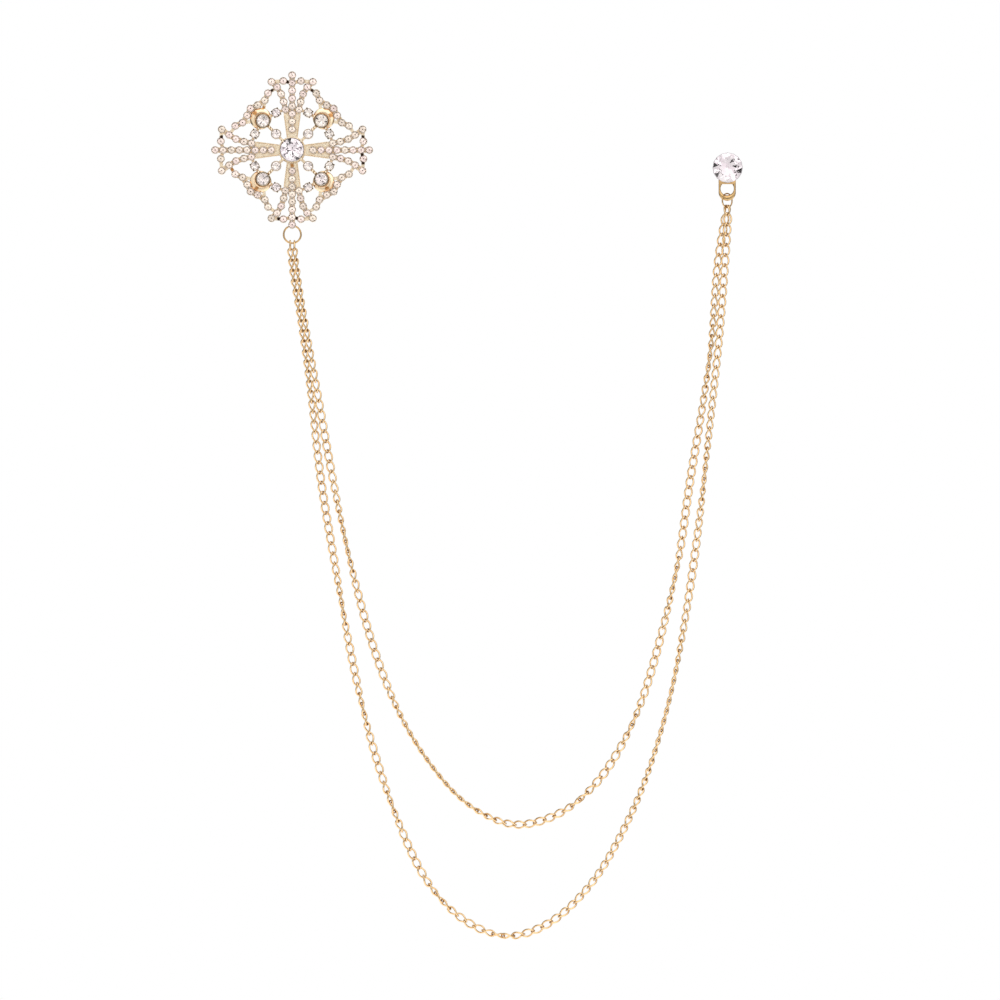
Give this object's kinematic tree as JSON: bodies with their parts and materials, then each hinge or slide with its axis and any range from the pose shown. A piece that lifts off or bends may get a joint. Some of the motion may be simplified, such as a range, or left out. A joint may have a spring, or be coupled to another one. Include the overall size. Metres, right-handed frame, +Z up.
{
  "type": "lapel chain with a stone-set cross brooch and a stone stud",
  "caption": "Pierced cross-shaped brooch set with clear stones, joined by two hanging curb chains to a round stone stud.",
  "frame": {"origin": "middle of the back of the brooch's pin bar, where the brooch sits against the cloth", "axes": "+Z up as worn, +X from the brooch to the stud, +Y from the jewel into the cloth, so the stones face -Y"},
  "size_m": [0.1476, 0.0152, 0.2416],
  "materials": {
    "gold": "polished pale gold plating",
    "chain": "polished champagne gold plating",
    "stone": "clear cut crystal",
    "small_stone": "clear cut crystal with a warm tint"
  },
  "bodies": {
    "root": {"brooch_frame": "gold", "brooch_pin": "gold", "centre_stone": "stone", "corner_stone_top_left": "stone", "corner_stone_bottom_left": "stone", "corner_stone_bottom_right": "stone", "corner_stone_top_right": "stone", "inner_stone_top_left": "stone", "inner_stone_bottom_left": "stone", "inner_stone_bottom_right": "stone", "inner_stone_top_right": "stone", "side_stone_top_left_upright": "stone", "side_stone_bottom_left_upright": "stone", "side_stone_bottom_right_upright": "stone", "side_stone_top_right_upright": "stone", "side_stone_top_left_level": "stone", "side_stone_bottom_left_level": "stone", "side_stone_bottom_right_level": "stone", "side_stone_top_right_level": "stone", "arm_stones_top": "small_stone", "arm_stones_left": "small_stone", "arm_stones_bottom": "small_stone", "arm_stones_right": "small_stone", "border_stones_top_left": "small_stone", "border_stones_bottom_left": "small_stone", "border_stones_bottom_right": "small_stone", "border_stones_top_right": "small_stone", "brooch_ring": "gold", "long_chain_first_link": "chain", "short_chain_first_link": "chain", "long_chain": "chain", "short_chain": "chain", "long_chain_last_link": "chain", "short_chain_last_link": "chain", "stud_ring": "gold", "stud_cup": "gold", "stud_stone": "stone", "stud_clutch": "gold"}
  },
  "joints": []
}
